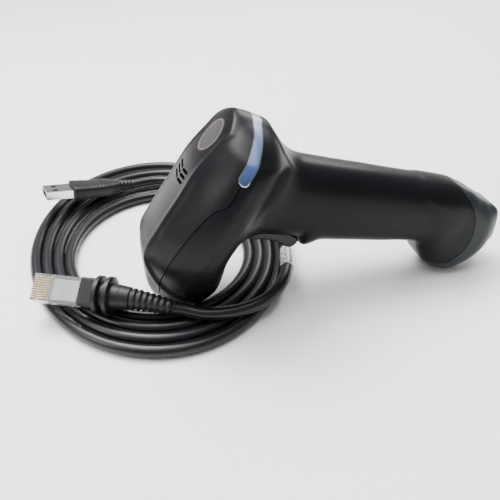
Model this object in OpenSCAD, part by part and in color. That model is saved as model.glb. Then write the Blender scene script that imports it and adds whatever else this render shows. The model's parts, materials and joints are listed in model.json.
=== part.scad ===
// Handheld barcode scanner lying nose down on a table, with its loose coiled cable.
// Millimetres, +Z up. X runs along the scanner from the nose to the butt of the handle.

/* [Body] */
// wall thickness of the plastic shells
wall = 2.2; // [1.6:0.1:3]
// clear gap along every seam between two shells
seam_gap = 0.1; // [0.05:0.05:0.4]
// angle between the head axis and the table
head_tilt = 66; // [50:1:80]
// downward slope of the handle towards its butt
handle_slope = 13; // [0:1:25]
// radius of the rounded edges of the butt
butt_r = 9; // [6:0.5:11]
// half width of the butt
butt_w = 13.8; // [11:0.1:17]
// half width of the crowned top panel between its creases
panel_w = 15.4; // [8:0.1:20]
// fall of the top panel from its centre line to its creases
panel_crown = 0.8; // [0:0.1:4]

/* [Face] */
// badge diameter
badge_d = 15; // [8:0.5:20]
// width of the status light band
band_w = 3.8; // [2:0.1:8]
// scan window semi axis along the nose
window_u = 8.2; // [5:0.1:12]
// scan window semi axis across the nose
window_v = 9.2; // [5:0.1:16]
// how far the scan window sits behind the mouth
window_depth = 3.2; // [2.6:0.1:6]

/* [Trigger] */
// half width of the trigger
trigger_w = 6.8; // [4:0.1:8]
// side clearance of the trigger in its opening
trigger_gap = 0.5; // [0.3:0.1:1]
// pivot pin radius
pivot_r = 1.2; // [0.8:0.1:2]

/* [Cable] */
// cable diameter
cord_d = 5.7; // [4:0.1:8]
// outer half length of the coil along X
coil_x = 66; // [50:1:90]
// outer half length of the coil along Y
coil_y = 91; // [60:1:120]
// inner half length of the coil along X
hole_x = 43; // [20:1:60]
// inner half length of the coil along Y
hole_y = 52; // [30:1:80]

/* [Plugs] */
// width of the modular plug
modular_w = 11.68; // [9:0.01:13]
// roll of the modular plug about its own axis
modular_roll = 40; // [0:1:90]
// half width of the flanges on the modular plug boot
flange_r = 8.5; // [6:0.1:10]
// width and height of the square cable plug shell
usb_w = 12; // [11:0.1:13]
usb_h = 4.5; // [4:0.1:5]

/* [Hidden] */
reference_x = -70.2;
e = 0.01;
// head stations: distance from the rear pole, rise to the top, fall to the underside, half width
HEAD = [[0, 11.3, 3.3, 3], [4, 12.8, 7.6, 16.5], [8, 14.4, 10.8, 24], [12, 15.7, 12.6, 29],
  [25, 20.5, 10.1, 32], [39, 23.1, 8, 33], [54, 26.1, 7.7, 30.5], [66, 27.6, 9.8, 25.5],
  [77, 23.2, 11.4, 18], [87, 17.3, 10.8, 10.8], [94, 9.7, -5.7, 3]];
HEAD_S = [0, 2, 4.5, 8, 12, 18, 25, 32, 39, 46, 54, 60, 66, 72, 77, 82, 87, 91, 94];
// handle stations: distance, centre offset, half depth, half width
GRIP = [[-6, 2, 27, 25.5], [-3, 3, 24.5, 22], [0, 2.8, 23, 19.3], [4, 1.6, 20.2, 16.8], [8, 0.6, 18.6, 15.6],
  [12, 0, 17.9, 15.2], [17.5, -0.3, 17.95, 15.1], [19.8, -2.2, 19.75, 15.05], [21.4, -2.55, 20.05, 15],
  [23.6, -2, 19.45, 15], [26, -1.2, 18.5, 15], [29, -0.85, 18.05, 14.95], [44, -0.5, 17.3, 14.7],
  [58, -0.35, 16.6, 14.4], [68, 0, 16, 14.2], [82.4, 0, 15.5, 13.9], [91, -0.6, 14.3, 13], [98, -3, 10.5, 9.5]];
// side view of the butt of the handle, and the seam between housing and end cap
BUTT = [[112.5, 48.6], [125, 45.8], [131, 44.3], [136.5, 42.3], [140.2, 40.3], [143.3, 38], [146.5, 36],
  [149.9, 33.7],
  [152.3, 30.9], [153.6, 27.3], [154, 22], [152.9, 16.5], [150.6, 11], [147.2, 7], [142.8, 3.7], [137.2, 1.2],
  [131, 0.02], [125.6, 1.2], [120.5, 4.8], [116.8, 9.7], [114.8, 15], [114.2, 21], [113.9, 27]];
SEAM = [[90, 75], [90, 16], [108, 11.5], [114, 9.3], [119.9, 7.9], [124, 7.4], [129.2, 8.4],
  [132.9, 10.7], [136, 13.8],
  [138.1, 18.5], [138.9, 24], [138.3, 30], [136.6, 35], [134.5, 39], [131.8, 43.3], [128, 49],
  [122, 58], [118, 75]];
n_top = 1.7;
n_low = 2.5;
butt_mid = [131, 23];
pivot = [-1.2, -13.6];
mirror_s = 60;

// smooth interpolation of column c of table T at station s
function seg(T, s, i = 0) = (i >= len(T) - 2 || s < T[i + 1][0]) ? i : seg(T, s, i + 1);
function grad(T, i, c) = let (a = max(i - 1, 0), b = min(i + 1, len(T) - 1))
  (T[b][c] - T[a][c]) / (T[b][0] - T[a][0]);
function at(T, s, c) = let (i = seg(T, s), h = T[i + 1][0] - T[i][0], u = (s - T[i][0]) / h)
  (2 * u * u * u - 3 * u * u + 1) * T[i][c] + (u * u * u - 2 * u * u + u) * h * grad(T, i, c)
  + (3 * u * u - 2 * u * u * u) * T[i + 1][c] + (u * u * u - u * u) * h * grad(T, i + 1, c);
function sp(v, p) = sign(v) * pow(abs(v), p);
// head section, first coordinate points to the top side, w is the inset
function head_section(s, w, n = 36) = let (a = at(HEAD, s, 1), b = at(HEAD, s, 2), c = (a - b) * 0.35,
  up = max(a - c, 2) - w, lo = max(b + c, 2) - w, hw = max(at(HEAD, s, 3), 3) - w,
  wc = min(panel_w, hw / 2), drop = panel_crown * wc / panel_w,
  k = (up - drop) / pow(1 - pow(wc / hw, n_top), 1 / n_top))
  [for (i = [0 : n - 1])
    let (q = 360 * (i + 0.5) / n, m = sin(q) > 0 ? n_top : n_low, y = hw * sp(cos(q), 2 / m))
    [c + (sin(q) > 0 ? min(k * sp(sin(q), 2 / m), up - drop * pow(y / wc, 2)) : lo * sp(sin(q), 2 / m)), y]];
module head_frame() translate([38.6, 0, 83.7]) rotate([0, 180 - head_tilt, 0]) children();
module grip_frame() translate([41.2, 0, 50.4]) rotate([0, handle_slope, 0]) children();
// convex slab between two rings of points
module slab(A, B) hull() polyhedron(points = concat(A, B), faces = let (n = len(A)) concat(
  [[for (k = [0 : n - 1]) k]], [[for (k = [n - 1 : -1 : 0]) n + k]],
  [for (k = [0 : n - 1]) [k, n + k, n + (k + 1) % n, (k + 1) % n]]));
function head_ring(s, w) = [for (q = head_section(s, w)) [s, q[1], -q[0]]];
function grip_ring(r, w, n = 32) = [for (k = [0 : n - 1]) let (q = 360 * (k + 0.5) / n)
  [r[0], (r[3] - w) * sp(sin(q), 0.8), r[1] - (r[2] - w) * sp(cos(q), 0.8)]];
module head_solid(w) {
  S = [for (s = HEAD_S) if (s == 0 || (s > w + 0.5 && s < 93.5 - w) || s == 94) min(max(s, w), 94 - w)];
  R = [for (s = S) head_ring(s, w)];
  head_frame() for (i = [0 : len(S) - 2]) slab(R[i], R[i + 1]);
}
module grip_solid(w) {
  R = [for (i = [0 : len(GRIP) - 1]) grip_ring(i == 0 && w > 0 ? GRIP[0] - [0.7, 0, 1.2, 1.2] : GRIP[i], w)];
  grip_frame() for (i = [0 : len(R) - 2]) slab(R[i], R[i + 1]);
}
function butt_ring(m, f, w) = [for (p = BUTT)
  let (q = butt_mid + (p - butt_mid) * (1 - (w + (butt_r - w) * (1 - cos(f))) / 20))
  [q[0], m * (butt_w - butt_r + (butt_r - w) * sin(f)), q[1]]];
module butt_solid(w) {
  R = concat([for (f = [90, 70, 50, 25, 0]) butt_ring(-1, f, w)],
    [for (f = [0, 25, 50, 70, 90]) butt_ring(1, f, w)]);
  n = len(BUTT);
  hull() polyhedron(points = [for (r = R, p = r) p], faces = concat([[for (k = [0 : n - 1]) k]],
    [[for (k = [n - 1 : -1 : 0]) 9 * n + k]], [for (i = [0 : 8], k = [0 : n - 1]) [i * n + k, (i + 1) * n + k,
    (i + 1) * n + (k + 1) % n, i * n + (k + 1) % n]]));
}
module socket_block(w) hull() for (x = [140, 149.6], z = [19, 28]) translate([x, 0, z]) rotate([90, 0, 0]) {
  cylinder(r = 5 - w, h = 2 * (7.6 - w), center = true, $fn = 32);
  cylinder(r = 3 - w, h = 2 * (9.3 - w), center = true, $fn = 32);
}
// whole outside of the scanner, inset by w
module body_solid(w) intersection() {
  union() { head_solid(w); grip_solid(w); butt_solid(w); socket_block(w); }
  translate([-60, -60, w]) cube([260, 120, 140]);
}
// everything in front of the mouth plane, shifted back by d
module before_mouth(d) mouth_frame() translate([-40, -40, -d]) cube([64, 80, 40]);
// mouth frame: X along the opening away from the nose tip, Z outwards
module mouth_frame() translate([1.5, 0, 0]) rotate([0, -35.4, 0]) rotate([180, 0, 0]) children();
module shell(w) difference() { body_solid(0); body_solid(w); before_mouth(0); }
module cover_zone(g) head_frame() rotate([90, 0, 0]) linear_extrude(90, center = true) offset(delta = g)
  polygon([[-20, 3.5], [2, -2.6], [18, -6.8], [25, -7.8], [29, -9], [31.5, -11.8], [36, -13.8], [46.5, -16.5],
    [55, -18], [64, -18.8], [76, -17], [86, -13.5], [96, -9], [110, -4], [110, -60], [-20, -60]]);
module cap_zone(g) rotate([90, 0, 0]) linear_extrude(90, center = true) offset(delta = g) difference() {
  polygon([[106, -5], [106, 80], [175, 80], [175, -10]]);
  polygon(ease(SEAM, 3));
}
module band_zone(r) head_frame() rotate([90, 0, 0]) linear_extrude(90, center = true) hull() {
  translate([-6, -0.6]) circle(r = r, $fn = 24);
  translate([17.2, -6.6]) circle(r = r, $fn = 24);
}
module badge_zone(r) head_frame() translate([13, 0, -30]) cylinder(r = r, h = 24, $fn = 72);
module trigger_slot() grip_frame() rotate([90, 0, 0])
  linear_extrude(2 * (trigger_w + trigger_gap), center = true)
    polygon([[-4.4, -10], [-4.4, -30], [20.2, -30], [20.2, -10]]);
module boss(x0, x1, z, r, b) translate([x0, 0, z]) rotate([0, 90, 0]) difference() {
  cylinder(r = r, h = x1 - x0, $fn = 32);
  translate([0, 0, -1]) cylinder(r = b, h = x1 - x0 + 2, $fn = 24);
}

module main_housing() color("#202124") {
  difference() {
    shell(wall);
    cover_zone(seam_gap / 2);
    cap_zone(seam_gap / 2);
    band_zone(band_w / 2 + seam_gap);
    trigger_slot();
  }
  // web for the end cap screw, between the side walls of the handle
  difference() {
    translate([125.5, -12.3, 7.7]) cube([8.2, 24.6, 5.1]);
    translate([120, 0, 10]) rotate([0, 90, 0]) cylinder(r = 1.1, h = 20, $fn = 24);
    cap_zone(seam_gap / 2);
  }
}
module top_cover() color("#27282b") difference() {
  intersection() { shell(wall); cover_zone(-seam_gap / 2); }
  band_zone(band_w / 2 + seam_gap);
  difference() { badge_zone(badge_d / 2 + seam_gap); body_solid(1.2); }
  // slanted sound slots, mirrored about the centre line
  head_frame() for (m = [-1, 1], i = [0 : 2]) translate([29.3 + 2.6 * i, m * 3.2, -30])
    rotate([0, 0, -m * 28]) translate([-0.45, -2.1, 0]) cube([0.9, 4.2, 16]);
}
module end_cap() color("#2c3032") difference() {
  union() {
    intersection() { shell(wall); cap_zone(-seam_gap / 2); }
    intersection() {
      translate([139.4, 0, 10]) rotate([0, 90, 0]) cylinder(r = 3.6, h = 14, $fn = 32);
      body_solid(0.5);
    }
  }
  translate([136, -7.55, 17.35]) cube([30, 15.1, 12.3]);
  translate([130, 0, 10]) rotate([0, 90, 0]) cylinder(r = 1.2, h = 40, $fn = 24);
  translate([148.6, 0, 10]) rotate([0, 90, 0]) cylinder(r = 2.4, h = 10, $fn = 32);
}
module nose_bezel() color("#17181a") difference() {
  intersection() {
    body_solid(wall + 0.15);
    mouth_frame() translate([-2, -40, -2.45]) cube([26, 80, 2.4]);
  }
  mouth_frame() translate([11.4, 0, -10]) scale([window_u - 0.8, window_v - 0.9, 1])
    cylinder(r = 1, h = 20, $fn = 64);
}
module oval(a, b, h) linear_extrude(h) polygon([for (i = [0 : 47]) [a * cos(7.5 * i), b * sin(7.5 * i)]]);
module window_gasket() color("#101112") mouth_frame() translate([11.4, 0, -window_depth]) difference() {
  oval(window_u, window_v, window_depth - 2.5);
  translate([0, 0, -1]) oval(window_u - 0.9, window_v - 0.9, 4);
}
module scan_window() color("#5a1014") mouth_frame() translate([11.4, 0, -window_depth - 1.5])
  oval(window_u, window_v, 1.5);
module light_pipe() color("#d6d9e4") intersection() { shell(1.9); band_zone(band_w / 2); }
module badge() color("#3a3c40") intersection() {
  difference() { body_solid(0); body_solid(1.15); }
  badge_zone(badge_d / 2);
}

module trigger() color("#1c1d1f") grip_frame() rotate([90, 0, 0]) {
  difference() {
    linear_extrude(2 * trigger_w, center = true) union() {
      polygon([[-3.6, -15.4], [-3.8, -19.8], [-2.4, -21], [1, -20.6], [5, -20.5], [9, -21.4], [12.4, -22.9],
        [14.8, -23.5], [16.6, -22.9], [18.2, -21.2], [18.8, -19.4], [17.8, -18.2], [15, -17.2], [11, -14.6],
        [2, -12.4], [-1, -11.2]]);
      translate(pivot) circle(r = 2.6, $fn = 48);
    }
    translate(pivot) cylinder(r = pivot_r + 0.05, h = 40, center = true, $fn = 48);
    translate(pivot) cylinder(r = 4.4, h = 6, center = true, $fn = 48);
  }
  translate([7.8, -16, -1.5]) cube([2, 9.4, 3]);
}
module trigger_pin() color("#b9bcc0") grip_frame() translate([pivot[0], 9.6, pivot[1]]) rotate([90, 0, 0])
  cylinder(r = pivot_r, h = 19.2, $fn = 48);
module trigger_bracket() color("#4a4d52") grip_frame() difference() {
  union() {
    for (m = [-1, 1]) translate([-4, m * 8.4 - 0.8, -15.8]) cube([5.6, 1.6, 14.8]);
    translate([-4, -9, -9.6]) cube([5.6, 18, 1.4]);
  }
  translate([pivot[0], 20, pivot[1]]) rotate([90, 0, 0]) cylinder(r = pivot_r + 0.05, h = 40, $fn = 48);
}
module trigger_spring() color("#c4c6c8") grip_frame() {
  translate([pivot[0], 0, pivot[1]]) rotate([90, 0, 0]) rotate_extrude($fn = 48)
    polygon([for (i = [-2 : 2], q = [0, 1]) [2.55 - 0.12 * q, (i + q * 0.5) * 0.75], [1.8, 1.9], [1.8, -1.5]]);
  translate([pivot[0] - 2.2, -1.4, pivot[1]]) cylinder(r = 0.3, h = 4, $fn = 16);
  translate([pivot[0], 1.1, pivot[1] - 2.2]) rotate([0, 90, 0]) cylinder(r = 0.3, h = 3.6, $fn = 16);
}
module trigger_switch() color("#26282c") grip_frame() difference() {
  translate([5.8, -3, -5]) cube([6, 6, 4]);
  translate([8.8, 0, -6]) cylinder(r = 1.35, h = 3.6, $fn = 32);
}
module switch_plunger() color("#8e3326") grip_frame() translate([8.8, 0, -6.4])
  cylinder(r = 1.2, h = 2.4, $fn = 32);
module main_board() color("#1f5a3c") grip_frame() {
  translate([-4.5, -9.5, -1]) cube([82, 19, 1.6]);
  translate([24, -5, 0.6]) cube([12, 10, 1.4]);
  translate([44, -4, 0.6]) cube([7, 8, 1.2]);
  translate([60, -3, 0.6]) cube([10, 6, 2.4]);
}
module ribbon_cable() color("#c9b98c") rotate([90, 0, 0]) linear_extrude(8, center = true)
  polygon([[17.2, 60.5], [22, 60.2], [30, 59.9], [36.6, 59.4], [38.4, 57.4], [42.6, 51],
    [42.5, 50.6], [38.1, 57.1], [36.4, 59], [29.9, 59.5], [21.9, 59.8], [17, 60.1]]);

module engine_chassis() color("#9a9da1") head_frame() difference() {
  union() {
    translate([36, -13, 2.8]) cube([32, 26, 1.8]);
    translate([36, -13, -9]) cube([2, 26, 11.8]);
    translate([mirror_s, 0, 0.8]) cylinder(r = 3, h = 2.1, $fn = 40);
    for (m = [-1, 1]) translate([65.6, m * 11, -10]) cylinder(r = 1.6, h = 13, $fn = 32);
    translate([53.4, 3.6, 0.6]) cube([3, 3, 2.4]);
    translate([56.6, -15.4, 0.5]) cube([7, 8.4, 2.5]);
  }
  translate([mirror_s, 0, -1]) cylinder(r = 0.75, h = 8, $fn = 32);
  for (m = [-1, 1]) translate([65.6, m * 11, -12]) cylinder(r = 0.8, h = 6, $fn = 24);
}
module mirror_pin() color("#c8cacc") head_frame() translate([mirror_s, 0, -9.4])
  cylinder(r = 0.75, h = 13.6, $fn = 32);
module mirror_frame() head_frame() translate([mirror_s, 0, -3]) rotate([0, 0, -45]) children();
module scan_mirror() color("#3b3e43") mirror_frame() difference() {
  union() {
    translate([0, 0, -3.4]) cylinder(r = 2.2, h = 6.8, $fn = 48);
    translate([0.6, -5.2, -3.4]) cube([1.6, 10.4, 6.8]);
    translate([-3, -1.5, -2]) cube([2.4, 3, 4]);
  }
  cylinder(r = 0.8, h = 30, center = true, $fn = 32);
}
module mirror_glass() color("#cfd6dc") mirror_frame() translate([2.2, -5, -3.2]) cube([0.6, 10, 6.4]);
module mirror_magnet() color("#86888c") mirror_frame() translate([-5, -1.5, -1.8]) cube([2, 3, 3.6]);
module drive_coil() color("#a3562f") mirror_frame() translate([-10.4, 0, 0]) rotate([0, 90, 0]) difference() {
  cylinder(r = 3.6, h = 3.2, $fn = 48);
  translate([0, 0, -1]) cylinder(r = 1.6, h = 6, $fn = 32);
}
module laser_module() color("#c2a15a") head_frame() translate([mirror_s, -15, -3])
  rotate([-90, 0, 0]) difference() {
  cylinder(r = 3.5, h = 8.4, $fn = 48);
  translate([0, 0, 6.6]) cylinder(r = 2.3, h = 4, $fn = 32);
}
module laser_lens() color("#b9d3dd") head_frame() translate([mirror_s, -8.4, -3]) rotate([-90, 0, 0])
  cylinder(r = 2.3, h = 1.2, $fn = 32);
module collector_mirror() color("#d9dde0") head_frame() difference() {
  translate([38, -12, -9.6]) cube([6, 24, 12.4]);
  translate([64, 0, -3.4]) sphere(r = 23, $fn = 96);
}
module photo_sensor() color("#1a1b1d") head_frame() translate([58.4, 8.4, -10]) cube([2.6, 4.2, 7]);
module optical_filter() color("#7a1420") head_frame() translate([57.6, 8.6, -8]) cube([0.8, 3.8, 4.6]);
module optics_board() color("#1f5a3c") head_frame() difference() {
  union() {
    translate([36, -12.5, -11.6]) cube([32, 25, 1.6]);
    translate([8.8, -7, -11.6]) cube([27.2, 14, 1.6]);
  }
  for (m = [-1, 1]) translate([65.6, m * 11, -13]) cylinder(r = 0.9, h = 4, $fn = 24);
}
module board_screws() color("#b4b6b8") head_frame() for (m = [-1, 1]) translate([65.6, m * 11, 0]) {
  translate([0, 0, -12.6]) cylinder(r = 1.5, h = 1, $fn = 32);
  translate([0, 0, -12]) cylinder(r = 0.75, h = 5.6, $fn = 24);
}
module beeper() color("#141516") head_frame() translate([31, 0, -15.1]) difference() {
  cylinder(r = 5.6, h = 3.5, $fn = 48);
  translate([0, 0, -1]) cylinder(r = 1, h = 2, $fn = 24);
}
module led_board() color("#1f5a3c") head_frame() translate([7.6, -8, -11.6]) cube([1.2, 16, 13]);
module status_leds() color("#eef0ff") head_frame()
  for (m = [-1, 1]) translate([6.2, m * 5 - 1.4, -4.4]) cube([1.4, 2.8, 2.8]);

module cable_socket() color("#33363a") difference() {
  translate([138.2, -7.4, 17.5]) cube([15.4, 14.8, 12]);
  translate([141.5, -6, 19.5]) cube([20, 12, 7]);
  translate([144, -3.2, 26]) cube([20, 6.4, 2.2]);
}
module socket_contacts() color("#d8b25a") for (i = [0 : 9]) translate([142.5, (i - 4.5) * 1.02 - 0.2, 19.5])
  rotate([90, 0, 0]) translate([0, 0, -0.4]) linear_extrude(0.4)
    polygon([[0, 0], [9.5, 0], [9.5, 0.3], [3, 0.3], [0.3, 1.3], [0, 1.1]]);
module end_cap_screw() color("#8d9093") translate([0, 0, 10]) rotate([0, 90, 0]) {
  translate([0, 0, 129]) cylinder(r = 1.05, h = 19.8, $fn = 32);
  translate([0, 0, 148.6]) difference() {
    cylinder(r = 2.2, h = 1.4, $fn = 32);
    translate([0, 0, 0.6]) cube([0.6, 3, 3], center = true);
    translate([0, 0, 0.7]) cube([3, 0.6, 1.6], center = true);
  }
}

// cable tube through hand placed route points, eased between them
LEAD = [[-4, -20.6, 11.2], [2, -22.2, 9.8], [9, -25, 8.9], [20, -26.5, 8.8], [32, -24, 8.8], [42, -17, 8.9],
  [50, -6, 9.1], [54.5, 8, 9.1], [57, 22, 8.7], [59, 36, 7], [60, 50, 4]];
TAIL = [[-14.2, 101.1, 9.0], [-6, 103.2, 8.9], [2, 103.6, 8.8], [12, 99.5, 8.8], [20, 91.5, 8.6],
  [25.5, 82, 6.8],
  [28.6, 72.5, 4.4]];
SLEEVE = [[51.6, -2, 9.1], [54.5, 8, 9.1], [55.8, 14, 9.05]];
function unit(v) = v / norm(v);
function tangent(R, i) = unit(R[min(i + 1, len(R) - 1)] - R[max(i - 1, 0)]);
function ring(R, i, r, n) = let (t = tangent(R, i), a = unit(cross(t, [0, 0, 1])), b = cross(a, t))
  [for (k = [0 : n - 1]) R[i] + r * (a * cos(360 * k / n) + b * sin(360 * k / n))];
function ease(R, m) = [for (i = [0 : len(R) - 2], j = [0 : m - 1])
  let (u = j / m, p0 = R[max(i - 1, 0)], p1 = R[i],
  p2 = R[i + 1], p3 = R[min(i + 2, len(R) - 1)]) 0.5 * (2 * p1 + (p2 - p0) * u
  + (2 * p0 - 5 * p1 + 4 * p2 - p3) * u * u + (3 * p1 - p0 - 3 * p2 + p3) * u * u * u), R[len(R) - 1]];
module tube(R, r, n = 10) {
  m = len(R);
  polyhedron(points = [for (i = [0 : m - 1]) each ring(R, i, r, n)],
    faces = concat([[for (k = [0 : n - 1]) k]], [for (i = [0 : m - 2], k = [0 : n - 1])
      [i * n + k, (i + 1) * n + k, (i + 1) * n + (k + 1) % n, i * n + (k + 1) % n]],
      [[for (k = [n - 1 : -1 : 0]) (m - 1) * n + k]]));
}
module ellipse2(a, b, n = 72) polygon([for (i = [0 : n - 1]) [a * cos(360 * i / n), b * sin(360 * i / n)]]);
module cable_coil() color("#1e1f21") linear_extrude(cord_d) difference() {
  translate([-3, 48.5]) ellipse2(coil_x, coil_y);
  translate([-3, 37]) ellipse2(hole_x, hole_y);
}
module cable_lead() color("#1e1f21") tube(ease(LEAD, 2), cord_d / 2);
module cable_usb_tail() color("#1e1f21") tube(ease(TAIL, 2), cord_d / 2);
module cable_label() color("#e9e9e6") tube(ease(SLEEVE, 2), cord_d / 2 + 0.5, 12);

module plug_frame() translate([-32.5, -9.8, 14.5]) rotate([0, 0, 157]) rotate([-modular_roll, 0, 0]) children();
module plug_boot() color("#26282a") {
  plug_frame() rotate([0, 90, 0]) {
    translate([0, 0, -0.2]) cylinder(r = flange_r, h = 2.4, $fn = 48);
    translate([0, 0, -4.8]) cylinder(r = flange_r, h = 2.4, $fn = 48);
    translate([0, 0, -8]) cylinder(r = 5.6, h = 9, $fn = 40);
  }
  plug_frame() translate([1, -6.3, -4.9]) cube([8, 12.6, 9.8]);
  hull() {
    translate([-25.1, -12.9, 14.5]) sphere(r = 5.2, $fn = 32);
    translate([-14, -17, 13.2]) sphere(r = 4.6, $fn = 32);
  }
  hull() {
    translate([-14, -17, 13.2]) sphere(r = 4.6, $fn = 32);
    translate([-3.6, -20.8, 11]) sphere(r = 3.3, $fn = 32);
  }
}
module plug_body() color("#dfe6ea") plug_frame() difference() {
  translate([9, -modular_w / 2, -4]) cube([21, modular_w, 8]);
  translate([29, -modular_w, -6]) rotate([0, 20, 0]) cube([6, 2 * modular_w, 6]);
  for (i = [0 : 9]) translate([22, (i - 4.5) * 1.02 - 0.25, 2.6]) cube([9, 0.5, 3]);
}
module plug_contacts() color("#dcb558") plug_frame() for (i = [0 : 9])
  translate([22.2, (i - 4.5) * 1.02 - 0.2, 2.6]) cube([7.4, 0.4, 1.1]);
module plug_latch() color("#d5dde2") plug_frame() rotate([90, 0, 0]) linear_extrude(6, center = true)
  polygon([[27.6, -4.15], [28.6, -4.15], [28.6, -5.2], [18, -6.6], [8, -7.6], [8, -6.6], [17, -5.4]]);

module usb_frame() translate([-48.2, 92.2, 13.9]) rotate([5, -8, 194.7]) children();
module usb_overmold() color("#232527") usb_frame() difference() {
  union() {
    hull() {
      translate([-1.6, 0, 0]) rotate([0, 90, 0]) linear_extrude(1.6)
        offset(r = 2, $fn = 24) square([4.4, 12], center = true);
      translate([-20, 0, 0]) rotate([0, 90, 0]) linear_extrude(1)
        offset(r = 2, $fn = 24) square([4, 10.6], center = true);
      translate([-27, 0, 0]) rotate([0, 90, 0]) linear_extrude(1)
        offset(r = 2, $fn = 24) square([3, 5], center = true);
    }
    hull() {
      translate([-28, 0, 0]) rotate([0, 90, 0]) cylinder(r = 3.7, h = 2, $fn = 32);
      translate([-36, 0, 0]) rotate([0, 90, 0]) cylinder(r = 3.2, h = 1, $fn = 32);
    }
  }
  translate([-8, -usb_w / 2, -usb_h / 2]) cube([20, usb_w, usb_h]);
}
module usb_shell() color("#cfd2d4") usb_frame() difference() {
  translate([-8, -usb_w / 2, -usb_h / 2]) cube([22.5, usb_w, usb_h]);
  translate([0, -usb_w / 2 + 0.35, -usb_h / 2 + 0.35]) cube([20, usb_w - 0.7, usb_h - 0.7]);
  for (m = [-1, 1]) translate([8, m * 3 - 1.2, 0]) cube([2.4, 2.4, 8]);
}
module usb_tongue() color("#e8e8e4") usb_frame() translate([0, -5.4, -1.85]) cube([13.6, 10.8, 1.8]);
module usb_contacts() color("#dcb558") usb_frame()
  for (y = [-3.5, -1, 1, 3.5]) translate([1, y - 0.5, -0.05]) cube([11, 1, 0.2]);

module placed() translate([reference_x, 0, 0]) children();
placed() main_housing();
placed() top_cover();
placed() end_cap();
placed() nose_bezel();
placed() window_gasket();
placed() scan_window();
placed() light_pipe();
placed() badge();
placed() trigger();
placed() trigger_pin();
placed() trigger_bracket();
placed() trigger_spring();
placed() trigger_switch();
placed() switch_plunger();
placed() main_board();
placed() ribbon_cable();
placed() engine_chassis();
placed() mirror_pin();
placed() scan_mirror();
placed() mirror_glass();
placed() mirror_magnet();
placed() drive_coil();
placed() laser_module();
placed() laser_lens();
placed() collector_mirror();
placed() photo_sensor();
placed() optical_filter();
placed() optics_board();
placed() board_screws();
placed() beeper();
placed() led_board();
placed() status_leds();
placed() cable_socket();
placed() socket_contacts();
placed() end_cap_screw();
placed() cable_coil();
placed() cable_lead();
placed() cable_usb_tail();
placed() cable_label();
placed() plug_boot();
placed() plug_body();
placed() plug_contacts();
placed() plug_latch();
placed() usb_overmold();
placed() usb_shell();
placed() usb_tongue();
placed() usb_contacts();
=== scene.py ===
"""Handheld barcode scanner lying nose down beside its coiled cable."""
import json
import math

import bmesh
import bpy
import numpy as np
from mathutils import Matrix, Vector


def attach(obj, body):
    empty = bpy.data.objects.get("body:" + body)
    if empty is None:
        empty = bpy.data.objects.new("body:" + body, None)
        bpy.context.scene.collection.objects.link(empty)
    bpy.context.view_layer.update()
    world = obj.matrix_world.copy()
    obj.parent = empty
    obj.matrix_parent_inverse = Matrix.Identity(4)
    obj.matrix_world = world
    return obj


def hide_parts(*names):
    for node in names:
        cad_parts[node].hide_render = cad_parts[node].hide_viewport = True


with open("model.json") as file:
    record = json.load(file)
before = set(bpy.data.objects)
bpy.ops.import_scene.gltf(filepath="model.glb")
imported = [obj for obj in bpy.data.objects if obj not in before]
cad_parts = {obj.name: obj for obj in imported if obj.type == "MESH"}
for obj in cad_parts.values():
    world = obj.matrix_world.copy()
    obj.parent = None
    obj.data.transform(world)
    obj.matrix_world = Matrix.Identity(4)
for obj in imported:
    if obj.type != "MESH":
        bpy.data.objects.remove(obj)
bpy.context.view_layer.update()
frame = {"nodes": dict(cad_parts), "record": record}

# Shapes are worked out in millimetres, with X measured from the nose contact; REF moves them to the
# row frame.
REF = -70.2
SCALE = 0.001
CORD_D = 5.7


def row(p):
    """Working millimetres to row-frame metres."""
    p = np.asarray(p, float)
    return (p + np.array([REF, 0, 0])) * SCALE


# ---------------------------------------------------------------- camera
CAM_MM = (-14.07, -206.14, 163.8)
CAM_DOWN, CAM_YAW = math.radians(34), math.radians(13.23)
SENSOR_MM, FOCAL_RATIO = 36.0, 1.12
cam_data = bpy.data.cameras.new("camera")
cam_data.sensor_width = SENSOR_MM
cam_data.lens = SENSOR_MM * FOCAL_RATIO
cam_data.clip_start, cam_data.clip_end = 0.01, 20
camera = bpy.data.objects.new("camera", cam_data)
camera.location = row(CAM_MM)
camera.rotation_euler = (math.pi / 2 - CAM_DOWN, 0, -CAM_YAW)
bpy.context.scene.collection.objects.link(camera)
bpy.context.scene.camera = camera


# ---------------------------------------------------------------- materials
def node_tree(name):
    m = bpy.data.materials.new(name)
    m.use_nodes = True
    nt = m.node_tree
    return m, nt, nt.nodes["Principled BSDF"]


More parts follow.
